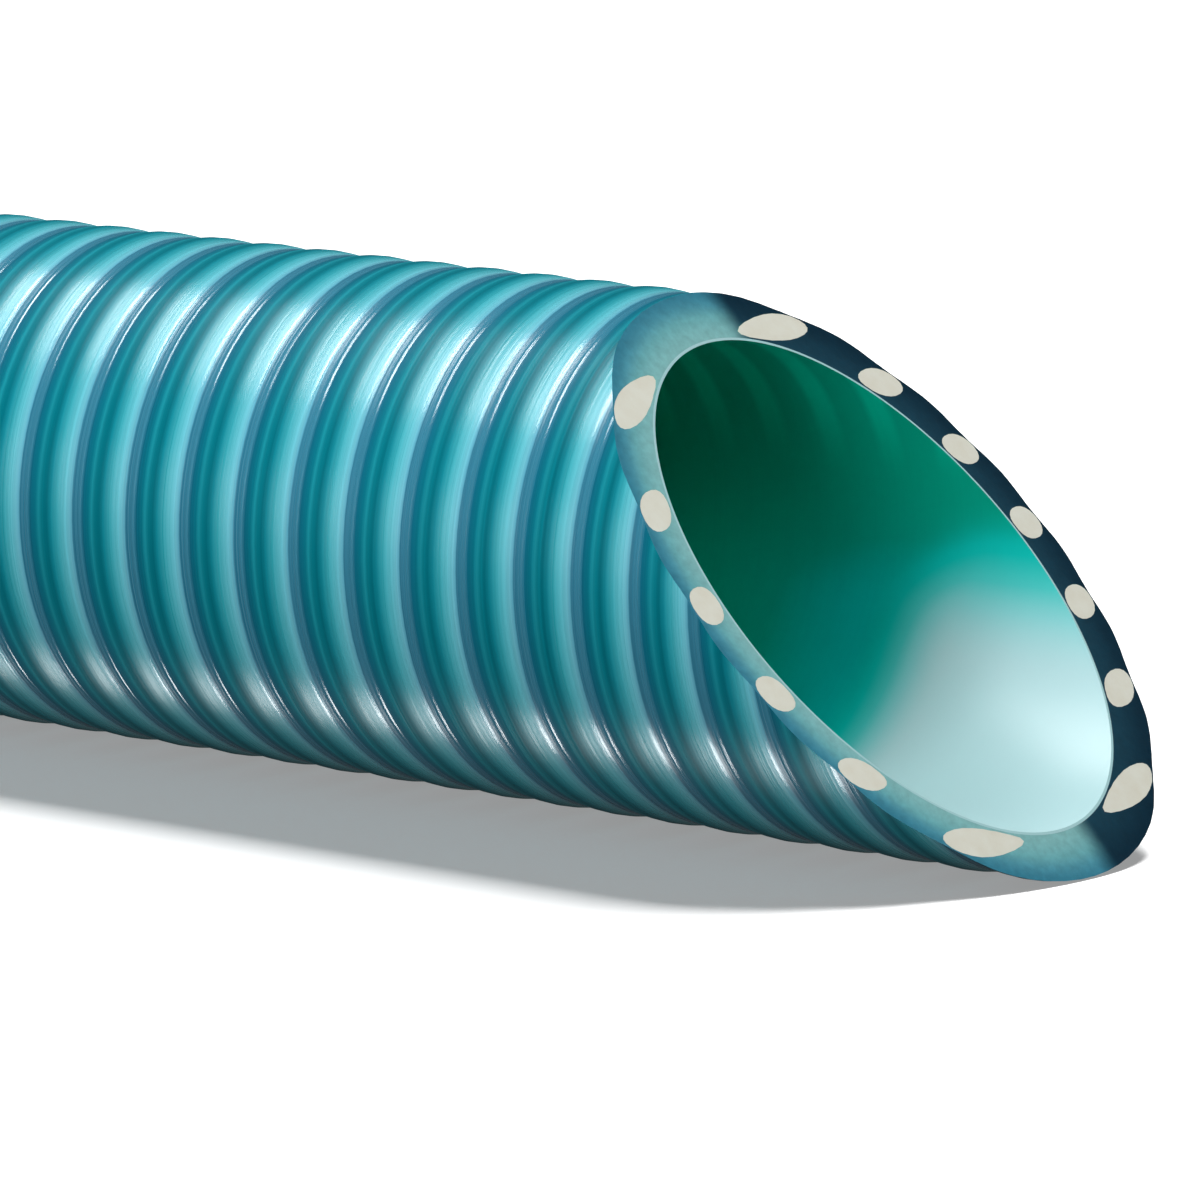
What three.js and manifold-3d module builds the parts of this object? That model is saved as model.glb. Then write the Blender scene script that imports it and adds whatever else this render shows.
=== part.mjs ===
// Spiral-reinforced PVC pressure hose: a straight length of soft, clear-tinted PVC wall with a rigid PVC
// spiral buried in it. It lies on its side with its axis along X. The -X end is cut square, and the +X end
// is cut at a slant whose long tip is at the bottom. All sizes are in millimetres and +Z is up.
import * as THREE from "three";
import { mergeVertices } from "three/addons/utils/BufferGeometryUtils.js";
import Module from "manifold-3d";

// Driving dimensions
const boreDiameter = 50;
const wallThickness = 5;
const overallLength = 304.8;
const slantAngle = THREE.MathUtils.degToRad(43.3);
const slantTurn = THREE.MathUtils.degToRad(6.9);

// The rigid spiral is right-handed. Its phase is how far past the middle of the slanted cut its centre
// line crosses the top of the hose, and the covers are the soft PVC left inside and outside it.
const spiralPitch = 8.05;
const spiralPhase = 2.03;
const spiralWidth = 3.1;
const spiralBoreCover = 0.7;
const spiralOuterCover = 0.5;
const spiralFitGap = 0.2;

// Facets that stand for round surfaces
const wallSides = 64;
const spiralStepsPerTurn = 20;
const spiralSectionSides = 6;
const mergeTolerance = 1e-4;

const boreRadius = boreDiameter / 2;
const outerRadius = boreRadius + wallThickness;
const squareEndX = -overallLength / 2;
const tipX = overallLength / 2;
const slantCentreX = tipX - outerRadius * Math.tan(slantAngle);
const spiralHeight = wallThickness - spiralBoreCover - spiralOuterCover;
const spiralRadius = boreRadius + spiralBoreCover + spiralHeight / 2;

// The normal of the slanted cut leans from +X towards the top, turned a little about the axis.
const slantNormal = new THREE.Vector3(
  Math.cos(slantAngle),
  -Math.sin(slantAngle) * Math.sin(slantTurn),
  Math.sin(slantAngle) * Math.cos(slantTurn),
);

const wasm = await Module();
wasm.setup();

function solidFrom(geometry) {
  geometry.deleteAttribute("normal");
  geometry.deleteAttribute("uv");
  const merged = mergeVertices(geometry, mergeTolerance);
  const mesh = new wasm.Mesh({
    numProp: 3,
    vertProperties: new Float32Array(merged.attributes.position.array),
    triVerts: new Uint32Array(merged.index.array),
  });
  return new wasm.Manifold(mesh);
}

function geometryFrom(solid) {
  const mesh = solid.getMesh();
  const geometry = new THREE.BufferGeometry();
  geometry.setAttribute("position", new THREE.BufferAttribute(mesh.vertProperties, 3));
  geometry.setIndex(new THREE.BufferAttribute(mesh.triVerts, 1));
  const faceted = geometry.toNonIndexed();
  faceted.computeVertexNormals();
  return faceted;
}

// Centre line of the spiral. The angle is measured about the axis from the top towards -Y.
class SpiralPath extends THREE.Curve {
  constructor(fromX, toX) {
    super();
    this.steps = Math.ceil(((toX - fromX) / spiralPitch) * spiralStepsPerTurn);
    this.firstAngle = this.angleAt(fromX);
    this.sweep = (this.steps * 2 * Math.PI) / spiralStepsPerTurn;
  }

  angleAt(x) {
    return ((x - slantCentreX - spiralPhase) / spiralPitch) * 2 * Math.PI;
  }

  getPoint(t, target = new THREE.Vector3()) {
    const angle = this.firstAngle + this.sweep * t;
    const x = slantCentreX + spiralPhase + (spiralPitch * angle) / (2 * Math.PI);
    return target.set(x, -spiralRadius * Math.sin(angle), spiralRadius * Math.cos(angle));
  }

  // Equal steps of the angle are equal steps along a helix.
  getPointAt(t, target) {
    return this.getPoint(t, target);
  }

  // Each section stands in the plane through the axis, so it keeps one side to the bore.
  computeFrenetFrames(segments) {
    const frames = { tangents: [], normals: [], binormals: [] };
    for (let i = 0; i <= segments; i += 1) {
      const angle = this.firstAngle + (this.sweep * i) / segments;
      frames.tangents.push(new THREE.Vector3(0, -Math.cos(angle), -Math.sin(angle)));
      frames.normals.push(new THREE.Vector3(0, -Math.sin(angle), Math.cos(angle)));
      frames.binormals.push(new THREE.Vector3(-1, 0, 0));
    }
    return frames;
  }
}

// An oval section with one flat side towards the bore and one towards the outside, swept along the spiral.
function spiralSolid(height, width) {
  const halfSide = Math.PI / spiralSectionSides;
  const radialReach = height / 2 / Math.cos(halfSide);
  const section = new THREE.Shape();
  section.absellipse(0, 0, radialReach, width / 2, halfSide, halfSide + 2 * Math.PI, false, 0);
  const overrun = spiralPitch / 2;
  const path = new SpiralPath(squareEndX - overrun - width, tipX + overrun + width);
  const geometry = new THREE.ExtrudeGeometry(section, {
    steps: path.steps,
    curveSegments: spiralSectionSides / 2,
    bevelEnabled: false,
    extrudePath: path,
  });
  return solidFrom(geometry);
}

// A round tube with a flat of its outline, not a corner, at the bottom.
function tubeSolid() {
  const halfSide = Math.PI / wallSides;
  const ring = new THREE.Shape();
  ring.absarc(0, 0, outerRadius / Math.cos(halfSide), halfSide, halfSide + 2 * Math.PI, false);
  const bore = new THREE.Path();
  bore.absarc(0, 0, boreRadius, halfSide, halfSide + 2 * Math.PI, false);
  ring.holes.push(bore);
  const geometry = new THREE.ExtrudeGeometry(ring, {
    depth: overallLength + outerRadius,
    curveSegments: wallSides / 2,
    bevelEnabled: false,
  });
  geometry.rotateY(Math.PI / 2);
  geometry.translate(squareEndX, 0, 0);
  return solidFrom(geometry);
}

// The waste beyond a flat cut through a point, on the side that the normal points to.
function wasteBeyond(point, normal) {
  const side = 2 * (overallLength + outerRadius);
  const geometry = new THREE.BoxGeometry(side, side, side);
  geometry.translate(side / 2, 0, 0);
  geometry.applyQuaternion(new THREE.Quaternion().setFromUnitVectors(new THREE.Vector3(1, 0, 0), normal));
  geometry.translate(point.x, point.y, point.z);
  return solidFrom(geometry);
}

const slantWaste = wasteBeyond(new THREE.Vector3(slantCentreX, 0, 0), slantNormal);
const squareWaste = wasteBeyond(new THREE.Vector3(squareEndX, 0, 0), new THREE.Vector3(-1, 0, 0));

function softWall() {
  const channel = spiralSolid(spiralHeight + 2 * spiralFitGap, spiralWidth + 2 * spiralFitGap);
  const wall = tubeSolid().subtract(channel).subtract(slantWaste);
  const material = new THREE.MeshStandardMaterial({ color: 0x2c9bab, roughness: 0.25, metalness: 0 });
  const mesh = new THREE.Mesh(geometryFrom(wall), material);
  mesh.name = "soft_wall";
  return mesh;
}

// The slanted cut parts the last turns into arcs that the wall holds one by one. The pieces are put in
// order along the hose, and the first is the long spiral.
function spiralMeshes() {
  const spiral = spiralSolid(spiralHeight, spiralWidth).subtract(squareWaste).subtract(slantWaste);
  const endX = (piece) => piece.boundingBox().max[0];
  const pieces = spiral.decompose().sort((a, b) => endX(a) - endX(b));
  const material = new THREE.MeshStandardMaterial({ color: 0xd9decf, roughness: 0.4, metalness: 0 });
  return pieces.map((piece, i) => {
    const mesh = new THREE.Mesh(geometryFrom(piece), material);
    mesh.name = i === 0 ? "rigid_spiral" : `spiral_arc_${i}`;
    return mesh;
  });
}

// The axis of the hose is one outer radius above the surface that it lies on.
const hose = new THREE.Group();
hose.position.z = outerRadius;
hose.add(softWall(), ...spiralMeshes());

export default hose;
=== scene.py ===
import bmesh
import bpy
import math
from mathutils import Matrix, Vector


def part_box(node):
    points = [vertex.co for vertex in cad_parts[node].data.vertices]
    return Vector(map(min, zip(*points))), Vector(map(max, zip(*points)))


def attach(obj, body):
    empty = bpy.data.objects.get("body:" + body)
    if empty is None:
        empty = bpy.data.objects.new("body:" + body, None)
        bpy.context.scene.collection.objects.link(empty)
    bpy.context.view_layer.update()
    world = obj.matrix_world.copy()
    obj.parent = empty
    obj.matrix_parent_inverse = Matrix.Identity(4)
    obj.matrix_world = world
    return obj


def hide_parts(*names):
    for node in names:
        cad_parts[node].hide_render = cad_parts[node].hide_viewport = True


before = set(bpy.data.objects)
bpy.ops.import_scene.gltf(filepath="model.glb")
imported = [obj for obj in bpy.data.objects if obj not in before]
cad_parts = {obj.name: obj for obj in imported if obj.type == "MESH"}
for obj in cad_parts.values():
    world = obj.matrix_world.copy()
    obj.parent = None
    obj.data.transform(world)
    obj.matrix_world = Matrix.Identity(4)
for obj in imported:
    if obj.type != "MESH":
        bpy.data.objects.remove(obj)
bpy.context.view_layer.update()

# The view: the hose lies from far left to near right, seen a little from above with its slanted cut
# towards the camera, through a long lens.
slant_angle = math.radians(43.3)
slant_turn = math.radians(6.9)
wall_low, wall_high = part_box("soft_wall")
outer_radius = (wall_high.z - wall_low.z) / 2
axis_height = wall_low.z + outer_radius
slant_centre = Vector((wall_high.x - outer_radius * math.tan(slant_angle), 0, axis_height))
camera_offset = Vector((0.5555, -0.7731, 0.1736))
camera_dip = 10.45
camera_turn = 37.6

camera_data = bpy.data.cameras.new("camera")
camera_data.sensor_width = 36
camera_data.lens = 261.2
camera_data.clip_end = 20
camera = bpy.data.objects.new("camera", camera_data)
camera.location = slant_centre + camera_offset
camera.rotation_euler = (math.radians(90 - camera_dip), 0, math.radians(camera_turn))
bpy.context.scene.collection.objects.link(camera)
bpy.context.scene.camera = camera


# The soft wall: one extruded tube of soft, tinted PVC. Its outside carries shallow waves, low at the
# rigid spiral and full between its turns, its bore is smooth, and a channel inside it holds the spiral.
bore_radius = 0.025
bore_sides = 192
spiral_pitch = 0.00805
spiral_phase = 0.00203
spiral_width = 0.0032
spiral_inner_radius = 0.02545
spiral_outer_radius = 0.02955
wave_depth = 0.00036
wave_low_at = -0.1
wave_points = 13
wave_steps = 80
spiral_steps = 64
section_points = 20
section_squareness = 2.3
channel_gap = 0.00001
turns_before_square_end = 2
weld_distance = 1e-6
cut_tolerance = 1e-7


def angle_at(x):
    """The angle from the top towards -Y where the spiral's centre line passes x."""
    return (x - slant_centre.x - spiral_phase) / spiral_pitch * 2 * math.pi


def screwed(bm, profile, closed, steps):
    """Winds a line of (x, radius) points once about the axis, one pitch forward, and repeats that turn."""
    start = wall_low.x - turns_before_square_end * spiral_pitch
    turn = angle_at(start)
    verts = [
        bm.verts.new((start + x, -r * math.sin(turn), axis_height + r * math.cos(turn)))
        for x, r in profile
    ]
    pairs = list(zip(verts, verts[1:]))
    if closed:
        pairs.append((verts[-1], verts[0]))
    edges = [bm.edges.new(pair) for pair in pairs]
    known = set(bm.faces)
    bmesh.ops.spin(
        bm,
        geom=verts + edges,
        cent=(0, 0, axis_height),
        axis=(1, 0, 0),
        dvec=(spiral_pitch / steps, 0, 0),
        angle=2 * math.pi,
        steps=steps,
        use_merge=False,
    )
    first_turn = [face for face in bm.faces if face not in known]
    turns = math.ceil((wall_high.x - start) / spiral_pitch) + 2
    for i in range(1, turns):
        copied = bmesh.ops.duplicate(bm, geom=first_turn)["geom"]
        moved = [g for g in copied if isinstance(g, bmesh.types.BMVert)]
        bmesh.ops.translate(bm, verts=moved, vec=(i * spiral_pitch, 0, 0))
    bmesh.ops.remove_doubles(bm, verts=bm.verts[:], dist=weld_distance)


def wave_profile():
    """One wave of the outside, from the middle of the gap before the spiral to the middle of the next."""
    points = []
    for i in range(wave_points + 1):
        u = i / wave_points - 0.5
        dip = wave_depth * (1 + math.cos(2 * math.pi * (u - wave_low_at))) / 2
        points.append((u * spiral_pitch, outer_radius - dip))
    return points


def section_profile(clearance):
    """The spiral's oval section, with flattened sides, about its centre line."""
    half_width = spiral_width / 2 + clearance
    half_height = (spiral_outer_radius - spiral_inner_radius) / 2 + clearance
    middle = (spiral_outer_radius + spiral_inner_radius) / 2
    points = []
    for i in range(section_points):
        turn = 2 * math.pi * (i + 0.5) / section_points
        across = math.copysign(abs(math.cos(turn)) ** (2 / section_squareness), math.cos(turn))
        up = math.copysign(abs(math.sin(turn)) ** (2 / section_squareness), math.sin(turn))
        points.append((across * half_width, middle + up * half_height))
    return points


slant_normal = Vector((
    math.cos(slant_angle),
    -math.sin(slant_angle) * math.sin(slant_turn),
    math.sin(slant_angle) * math.cos(slant_turn),
))
square_centre = Vector((wall_low.x, 0, axis_height))
square_normal = Vector((-1, 0, 0))


def cut(bm, centre, normal, face_material):
    """Cuts everything beyond a plane off, and closes the cut with flat faces that leave its holes open."""
    found = bmesh.ops.bisect_plane(
        bm,
        geom=bm.verts[:] + bm.edges[:] + bm.faces[:],
        dist=cut_tolerance,
        plane_co=centre,
        plane_no=normal,
        clear_outer=True,
    )
    edges = [e for e in found["geom_cut"] if isinstance(e, bmesh.types.BMEdge)]
    filled = bmesh.ops.triangle_fill(bm, edges=edges, use_beauty=True, normal=normal)
    rim = set(edges)
    for face in filled["geom"]:
        if isinstance(face, bmesh.types.BMFace):
            face.material_index = face_material
            face.smooth = False
            for edge in face.edges:
                edge.smooth = edge not in rim


def finished(name, bm, materials):
    mesh = bpy.data.meshes.new(name)
    bm.to_mesh(mesh)
    bm.free()
    for material in materials:
        mesh.materials.append(material)
    piece = bpy.data.objects.new(name, mesh)
    bpy.context.scene.collection.objects.link(piece)
    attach(piece, "root")
    return piece


def linear(red, green, blue):
    """A colour picked as 0 to 255 screen values, as shaders take it."""
    parts = []
    for value in (red, green, blue):
        share = value / 255
        parts.append(((share + 0.055) / 1.055) ** 2.4 if value > 10 else share / 12.92)
    return (*parts, 1)


def grey(value):
    return (value, value, value, 1)


class Shader:
    """A material with short calls for its nodes."""

    def __init__(self, name):
        self.material = bpy.data.materials.new(name)
        self.material.use_nodes = True
        self.nodes = self.material.node_tree.nodes
        self.links = self.material.node_tree.links
        self.surface = self.nodes["Principled BSDF"]

    def node(self, kind, **settings):
        made = self.nodes.new(kind)
        for key, value in settings.items():
            setattr(made, key, value)
        return made

    def math(self, operation, *values):
        made = self.node("ShaderNodeMath", operation=operation)
        for socket, value in zip(made.inputs, values):
            if isinstance(value, (int, float)):
                socket.default_value = value
            else:
                self.links.new(value, socket)
        return made.outputs[0]

    def ramp(self, factor, stops, interpolation="LINEAR"):
        made = self.node("ShaderNodeValToRGB")
        made.color_ramp.interpolation = interpolation
        elements = made.color_ramp.elements
        while len(elements) < len(stops):
            elements.new(1)
        for element, (place, colour) in zip(elements, stops):
            element.position = place
            element.color = colour
        self.links.new(factor, made.inputs[0])
        return made.outputs[0]

    def mix(self, factor, low, high):
        made = self.node("ShaderNodeMix", data_type="RGBA")
        for socket, value in zip((made.inputs[0], made.inputs[6], made.inputs[7]), (factor, low, high)):
            if isinstance(value, (int, float, tuple)):
                socket.default_value = value
            else:
                self.links.new(value, socket)
        return made.outputs[2]

    def place(self):
        """The piece's own x, y and height over the axis."""
        coordinates = self.node("ShaderNodeTexCoord")
        split = self.node("ShaderNodeSeparateXYZ")
        self.links.new(coordinates.outputs["Object"], split.inputs[0])
        return split.outputs[0], split.outputs[1], self.math("SUBTRACT", split.outputs[2], axis_height)

    def turn_share(self):
        """Where a point lies in its turn of the spiral, from 0 to 1, with the spiral itself at 0.5."""
        x, y, z = self.place()
        angle = self.math("ARCTAN2", self.math("MULTIPLY", y, -1), z)
        along = self.math("DIVIDE", self.math("SUBTRACT", x, slant_centre.x + spiral_phase), spiral_pitch)
        around = self.math("DIVIDE", angle, 2 * math.pi)
        return self.math("FRACT", self.math("ADD", self.math("SUBTRACT", along, around), 0.5))

    def noise(self, scale, detail=3.0, vector=None):
        made = self.node("ShaderNodeTexNoise")
        made.inputs["Scale"].default_value = scale
        made.inputs["Detail"].default_value = detail
        made.inputs["Roughness"].default_value = 0.6
        self.links.new(vector or self.node("ShaderNodeTexCoord").outputs["Object"], made.inputs["Vector"])
        return made.outputs[0]

    def die_lines(self, share, fineness, detail):
        """Fine lines along the spiral, alike in every turn, that come and go along the hose."""
        changes_per_metre = 45
        turn = self.math("MULTIPLY", share, 2 * math.pi)
        line = self.node("ShaderNodeCombineXYZ")
        self.links.new(self.math("MULTIPLY", self.math("COSINE", turn), fineness), line.inputs[0])
        self.links.new(self.math("MULTIPLY", self.math("SINE", turn), fineness), line.inputs[1])
        self.links.new(self.math("MULTIPLY", self.place()[0], changes_per_metre), line.inputs[2])
        return self.noise(1, detail, line.outputs[0])

    def between(self, value, low, high):
        """0 at one value, 1 at the other, and a soft step between them."""
        made = self.node("ShaderNodeMapRange", interpolation_type="SMOOTHSTEP")
        self.links.new(value, made.inputs["Value"])
        made.inputs["From Min"].default_value = low
        made.inputs["From Max"].default_value = high
        return made.outputs[0]

    def times(self, colour, share):
        made = self.node("ShaderNodeVectorMath", operation="SCALE")
        self.links.new(colour, made.inputs[0])
        self.links.new(share, made.inputs["Scale"])
        return made.outputs[0]

    def bump(self, height, depth):
        made = self.node("ShaderNodeBump")
        made.inputs["Strength"].default_value = 1
        made.inputs["Distance"].default_value = depth
        self.links.new(height, made.inputs["Height"])
        self.links.new(made.outputs[0], self.surface.inputs["Normal"])

    def set(self, name, value):
        socket = self.surface.inputs[name]
        if isinstance(value, (int, float, tuple)):
            socket.default_value = value
        else:
            self.links.new(value, socket)


pvc_ior = 1.53


def outside_material():
    """Light and dark stripes along the spiral, partly the wall's own tint over the spiral and partly
    painted light and shade on the two flanks of each wave, with fine lines, and two polished edges in each
    turn.
    """
    line_contrast = 0.5
    line_height = 0.9
    line_roughness = 0.12
    polish_smoothness = 0.2
    dullest = 0.31
    relief = 0.00006
    shader = Shader("tinted soft PVC, outside")
    share = shader.turn_share()
    # Painted light and shade: besides the wall's tint over the spiral, one flank of each wave is painted
    # lighter and the other darker.
    tint_and_flank_shade = shader.ramp(share, [
        (0.00, linear(14, 135, 150)),
        (0.10, linear(50, 165, 178)),
        (0.22, linear(92, 190, 204)),
        (0.32, linear(112, 196, 214)),
        (0.36, linear(96, 176, 200)),
        (0.385, linear(50, 122, 148)),
        (0.53, linear(58, 134, 160)),
        (0.59, linear(12, 104, 128)),
        (0.70, linear(6, 116, 134)),
        (0.77, linear(24, 140, 154)),
        (0.84, linear(4, 120, 134)),
        (0.92, linear(0, 108, 122)),
        (1.00, linear(14, 135, 150)),
    ])
    lines = shader.die_lines(share, fineness=3.2, detail=3.0)
    shade = shader.math("ADD", shader.math("MULTIPLY", lines, line_contrast), 1 - line_contrast / 2)
    shader.set("Base Color", shader.times(tint_and_flank_shade, shade))
    shader.set("IOR", pvc_ior)
    polish = shader.ramp(share, [
        (0.00, grey(0.16)),
        (0.12, grey(0.5)),
        (0.28, grey(0.45)),
        (0.31, grey(1)),
        (0.345, grey(1)),
        (0.375, grey(0.5)),
        (0.49, grey(0.5)),
        (0.505, grey(1)),
        (0.55, grey(1)),
        (0.58, grey(0.14)),
        (0.90, grey(0.08)),
        (1.00, grey(0.16)),
    ])
    shader.set("Specular IOR Level", polish)
    from_lines = shader.math("MULTIPLY", lines, line_roughness)
    from_polish = shader.math("MULTIPLY", polish, polish_smoothness)
    shader.set("Roughness", shader.math("ADD", shader.math("SUBTRACT", from_lines, from_polish), dullest))
    ridge = shader.ramp(share, [
        (0.465, grey(0)),
        (0.50, grey(1)),
        (0.513, grey(1)),
        (0.557, grey(0)),
    ], "EASE")
    shader.bump(shader.math("ADD", ridge, shader.math("MULTIPLY", lines, line_height)), relief)
    return shader.material


def bore_material():
    """Deep green inside the hose, with painted light towards the tip: lighter blue-green, then a
    mint-white pool where light falls in at the open mouth, its edge leaning like the shadow of the upper
    lip; faint arcs along the top.
    """
    lip_shadow_height = (-0.008, 0.006)
    lip_shadow_lean = -0.008
    mouth_light_along = (0.078, 0.105)
    mouth_light_height = (0.010, -0.010)
    light_pool_along = (0.103, 0.1175)
    light_pool_height = (0.007, -0.013)
    arc_reach = (0.28, 0.1)
    arc_height = (0.006, 0.018)
    arc_strength = 0.45
    line_strength = 0.1
    plain_shade = 0.93
    relief = 0.00003
    shader = Shader("tinted soft PVC, bore")
    x, _, z = shader.place()
    # The edge of the painted light leans towards the tip higher up, like the shadow of the mouth's upper
    # lip.
    along = shader.math("ADD", x, shader.math("MULTIPLY", shader.between(z, *lip_shadow_height), lip_shadow_lean))
    share = shader.turn_share()
    lines = shader.die_lines(share, fineness=2.2, detail=2.0)
    # Painted light: the deep green turns lighter towards the tip and lower down, where light falls in at
    # the mouth.
    painted_mouth_light = shader.math("MULTIPLY", shader.between(along, *mouth_light_along), shader.between(z, *mouth_light_height))
    green = shader.ramp(painted_mouth_light, [
        (0.0, linear(0, 176, 146)),
        (0.5, linear(0, 178, 154)),
        (1.0, linear(0, 206, 198)),
    ])
    from_spiral = shader.math("ABSOLUTE", shader.math("SUBTRACT", share, 0.5))
    arcs = shader.math("MULTIPLY", shader.between(from_spiral, *arc_reach), shader.between(z, *arc_height))
    arc_shade = shader.math("MULTIPLY", arcs, arc_strength)
    line_shade = shader.math("MULTIPLY", lines, line_strength)
    shade = shader.math("ADD", shader.math("ADD", arc_shade, line_shade), plain_shade)
    # Painted light: a mint-white pool on the floor of the bore near the tip, where the light falls in
    # through the open mouth.
    painted_light_pool = shader.math("MULTIPLY", shader.between(along, *light_pool_along), shader.between(z, *light_pool_height))
    tip = shader.ramp(painted_light_pool, [
        (0.0, linear(0, 200, 186)),
        (0.3, linear(8, 208, 198)),
        (0.55, linear(84, 216, 212)),
        (0.78, linear(150, 224, 226)),
        (1.0, linear(192, 229, 233)),
    ])
    shader.set("Base Color", shader.mix(shader.between(painted_light_pool, 0, 0.25), shader.times(green, shade), tip))
    shader.set("Roughness", 0.38)
    shader.set("IOR", pvc_ior)
    shader.bump(lines, relief)
    return shader.material


def cut_material():
    """The sawn face, with painted shade on the far side, where no light comes through the wall, the near
    side painted lighter, and a mint-white line at the bore that is a painted highlight on its edge.
    """
    far_side_shade = (0.002, 0.006)
    rim_highlight_width = 0.00025
    grain_contrast = 0.6
    relief = 0.00003
    shader = Shader("tinted soft PVC, cut face")
    _, y, z = shader.place()
    grain = shader.noise(900)
    squares = shader.math("ADD", shader.math("MULTIPLY", y, y), shader.math("MULTIPLY", z, z))
    radius = shader.math("SQRT", squares)
    through_wall = shader.between(radius, bore_radius, outer_radius)
    # Painted light and shade: the near side of the face is painted lighter, as if lit through the wall,
    # and the far side painted dark.
    near = shader.ramp(through_wall, [
        (0.0, linear(136, 194, 194)),
        (0.5, linear(110, 180, 186)),
        (0.8, linear(80, 154, 172)),
        (1.0, linear(56, 132, 156)),
    ])
    far = shader.ramp(through_wall, [
        (0.0, linear(24, 66, 84)),
        (1.0, linear(8, 44, 62)),
    ])
    colour = shader.mix(shader.between(y, *far_side_shade), near, far)
    shade = shader.math("ADD", shader.math("MULTIPLY", grain, grain_contrast), 1 - grain_contrast / 2)
    # Painted highlight: a thin mint-white line along the bore's edge.
    rim = shader.math("LESS_THAN", radius, bore_radius + rim_highlight_width)
    shader.set("Base Color", shader.mix(rim, shader.times(colour, shade), linear(176, 218, 222)))
    shader.set("Roughness", 0.3)
    shader.set("IOR", pvc_ior)
    shader.bump(grain, relief)
    return shader.material


def wall_mesh():
    """The waves, the channel and the bore as three open skins, which the two cuts join into one shell."""
    bm = bmesh.new()
    screwed(bm, wave_profile(), False, wave_steps)
    outside = set(bm.faces)
    screwed(bm, section_profile(channel_gap), True, spiral_steps)
    ring = bmesh.ops.create_circle(bm, cap_ends=False, radius=bore_radius, segments=bore_sides)["verts"]
    upright = square_normal.to_track_quat("Z", "Y").to_matrix()
    bmesh.ops.rotate(bm, verts=ring, cent=(0, 0, 0), matrix=upright)
    bmesh.ops.translate(bm, verts=ring, vec=(wall_low.x - spiral_pitch, 0, axis_height))
    edges = list(dict.fromkeys(e for v in ring for e in v.link_edges))
    drawn = bmesh.ops.extrude_edge_only(bm, edges=edges)["geom"]
    moved = [g for g in drawn if isinstance(g, bmesh.types.BMVert)]
    length = wall_high.x - wall_low.x + 2 * spiral_pitch
    bmesh.ops.translate(bm, verts=moved, vec=(length, 0, 0))
    for face in bm.faces:
        face.smooth = True
        face.material_index = 0 if face in outside else 1
    cut(bm, slant_centre, slant_normal, 2)
    cut(bm, square_centre, square_normal, 2)
    bmesh.ops.recalc_face_normals(bm, faces=bm.faces[:])
    return bm


wall = finished("soft_wall_surface", wall_mesh(), [outside_material(), bore_material(), cut_material()])
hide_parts("soft_wall")


# The rigid spiral: a cream PVC profile wound through the wall. The slanted cut parts its last turns
# into arcs, so its cut ends show as ovals in the face of the wall.
def spiral_material():
    relief = 0.00004
    shader = Shader("cream rigid PVC")
    cloud = shader.noise(420)
    shader.set("Base Color", shader.mix(cloud, linear(226, 222, 204), linear(240, 243, 232)))
    shader.set("Roughness", 0.42)
    shader.bump(cloud, relief)
    return shader.material


def spiral_mesh():
    bm = bmesh.new()
    screwed(bm, section_profile(0), True, spiral_steps)
    for face in bm.faces:
        face.smooth = True
    cut(bm, slant_centre, slant_normal, 0)
    cut(bm, square_centre, square_normal, 0)
    bmesh.ops.recalc_face_normals(bm, faces=bm.faces[:])
    return bm


spiral = finished("rigid_spiral_surface", spiral_mesh(), [spiral_material()])
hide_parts(*[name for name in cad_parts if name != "soft_wall"])


# The setting: a plain white floor under one light from above and behind that casts the soft shadow, with
# soft boxes round the hose and two narrow strips that draw the highlights along its turns.
floor_half_side = 4
room_light = 0.05
lamps_aim = Vector((0.03, 0, axis_height))

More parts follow.
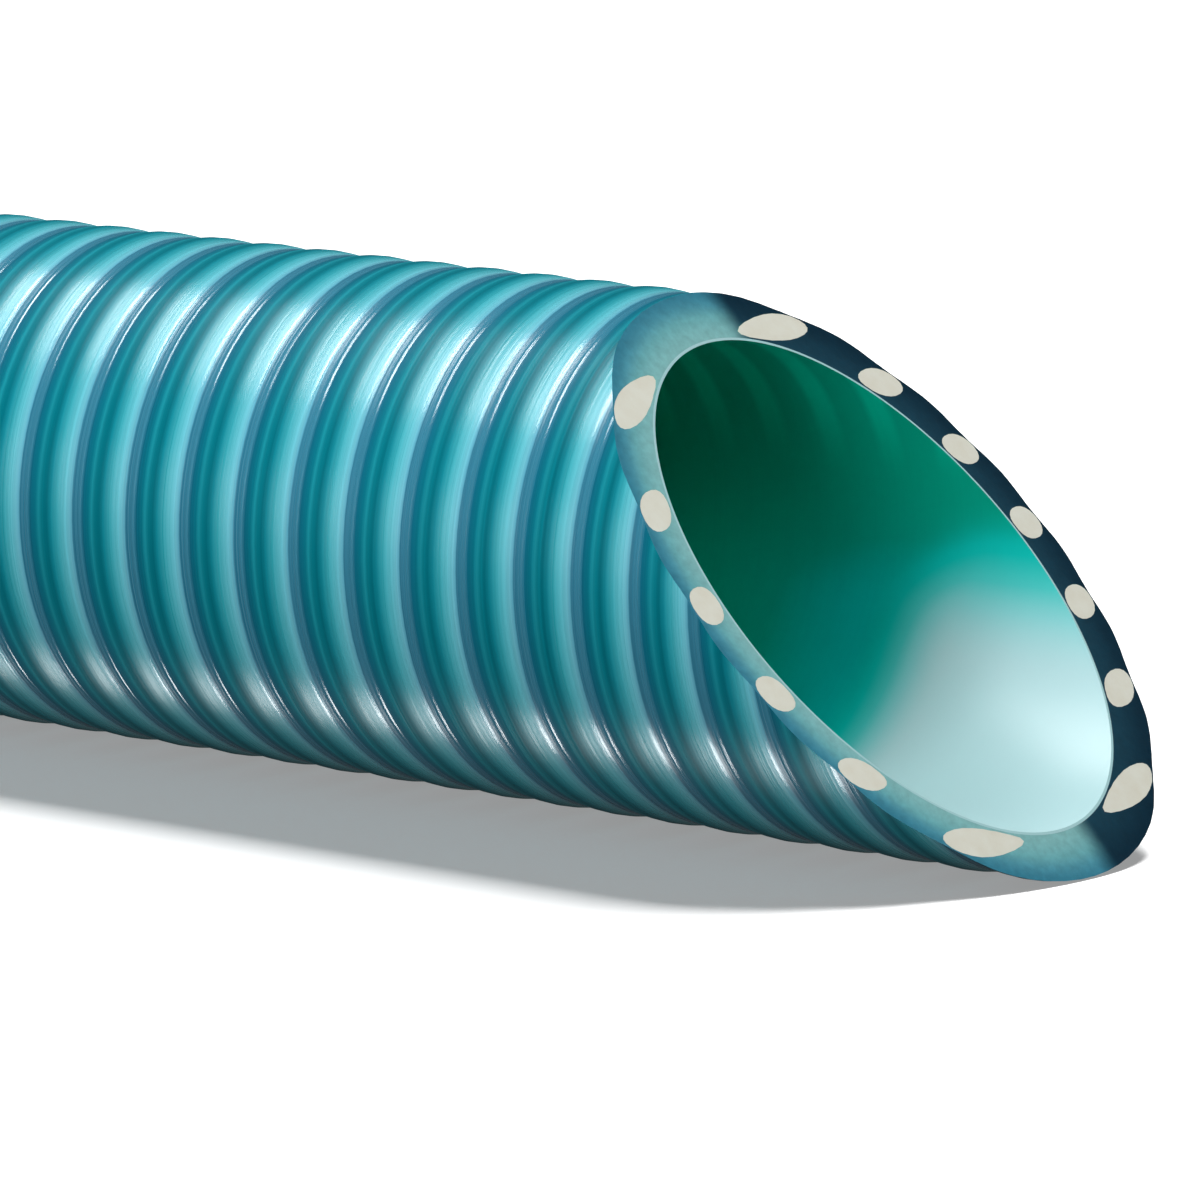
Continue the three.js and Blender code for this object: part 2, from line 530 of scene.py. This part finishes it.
floor_mesh = bpy.data.meshes.new("floor")
bm = bmesh.new()
bmesh.ops.create_grid(bm, x_segments=1, y_segments=1, size=floor_half_side)
bm.to_mesh(floor_mesh)
bm.free()
floor = bpy.data.objects.new("floor", floor_mesh)
bpy.context.scene.collection.objects.link(floor)
floor_shader = Shader("white floor")
floor_shader.set("Base Color", grey(0.7))
floor_shader.set("Roughness", 0.8)
floor_shader.set("Specular IOR Level", 0.0)
floor_shader.set("Emission Color", grey(1))
floor_shader.set("Emission Strength", 0.3)
floor_mesh.materials.append(floor_shader.material)
floor.visible_diffuse = False
floor.visible_glossy = False
floor.visible_shadow = False

lit_floor = bpy.data.collections.new("lit floor")
lit_floor.objects.link(floor)
lit_hose = bpy.data.collections.new("lit hose")
lit_hose.objects.link(wall)
lit_hose.objects.link(spiral)


def light(name, direction, size, power, distance=1.0, receivers=lit_hose, gloss_only=False):
    """A soft box that lights its receivers without a reflection, or a strip that is only reflected."""
    data = bpy.data.lights.new(name, "AREA")
    data.shape = "RECTANGLE"
    data.size, data.size_y = size
    data.energy = power
    lamp = bpy.data.objects.new(name, data)
    away = Vector(direction).normalized()
    lamp.location = lamps_aim + away * distance
    lamp.rotation_euler = (-away).to_track_quat("-Z", "Y").to_euler()
    lamp.visible_diffuse = not gloss_only
    lamp.visible_glossy = gloss_only
    lamp.light_linking.receiver_collection = receivers
    bpy.context.scene.collection.objects.link(lamp)


light("floor key", (-0.05, 0.4, 1), size=(0.42, 0.42), power=34, distance=1.3, receivers=lit_floor)
light("overhead box", (-0.15, -0.12, 0.97), size=(0.5, 0.4), power=6.3)
light("front box", (-0.1, -0.96, 0.24), size=(0.8, 0.4), power=5.6, distance=0.9)
light("mouth fill", (0.8, -0.3, 0.5), size=(0.4, 0.4), power=2.8)
light("back fill", (0.1, 0.9, 0.4), size=(0.8, 0.5), power=4.5)
light("square end fill", (-0.95, 0.2, 0.25), size=(0.5, 0.5), power=7.0)
light("upper strip", (-0.46, -0.13, 0.83), size=(0.8, 0.16), power=5.0, gloss_only=True)
light("lower strip", (-0.46, -0.2, -0.86), size=(0.36, 0.14), power=1.4, gloss_only=True)

world = bpy.data.worlds.new("studio")
world.use_nodes = True
background = world.node_tree.nodes["Background"]
background.inputs[0].default_value = grey(1)
background.inputs[1].default_value = room_light
bpy.context.scene.world = world
bpy.context.scene.view_settings.view_transform = "Standard"
